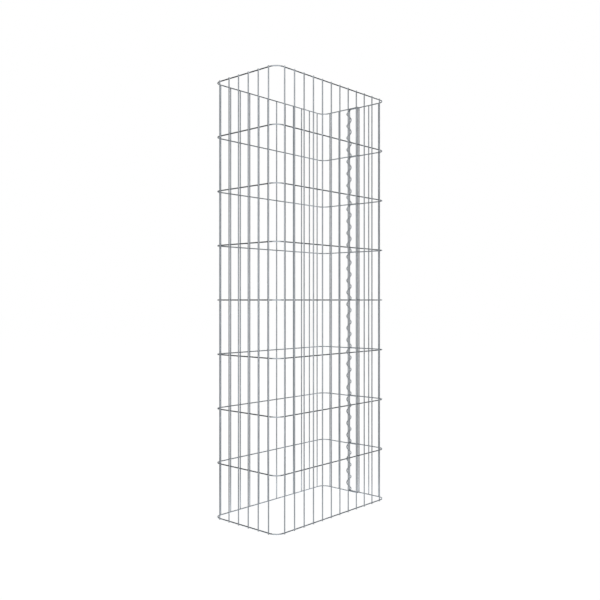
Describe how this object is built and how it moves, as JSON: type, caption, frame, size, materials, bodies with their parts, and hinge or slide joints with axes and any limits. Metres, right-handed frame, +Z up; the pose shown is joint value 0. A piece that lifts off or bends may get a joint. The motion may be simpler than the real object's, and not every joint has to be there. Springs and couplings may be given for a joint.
{
  "type": "wire gabion column basket, empty",
  "caption": "Tall empty gabion column of welded galvanised wire mesh with rounded corners, open top and bottom, its lapped ends laced by a spiral binder.",
  "frame": {"origin": "centre of the hoops' rectangle at the level of the uprights' bottom tips", "axes": "+X along the long side towards the laced seam, +Y along the depth towards the back, +Z up"},
  "size_m": [0.6474, 0.3334, 1.6064],
  "materials": {
    "mesh_wire": "satin zinc coating",
    "spiral_wire": "satin zinc coating"
  },
  "bodies": {
    "root": {"front_mesh": "mesh_wire", "left_mesh": "mesh_wire", "back_mesh": "mesh_wire", "seam_inner_mesh": "mesh_wire", "seam_outer_mesh": "mesh_wire", "front_left_bends": "mesh_wire", "front_right_bends": "mesh_wire", "back_left_bends": "mesh_wire", "back_right_bends": "mesh_wire", "spiral_binder": "spiral_wire"}
  },
  "joints": []
}
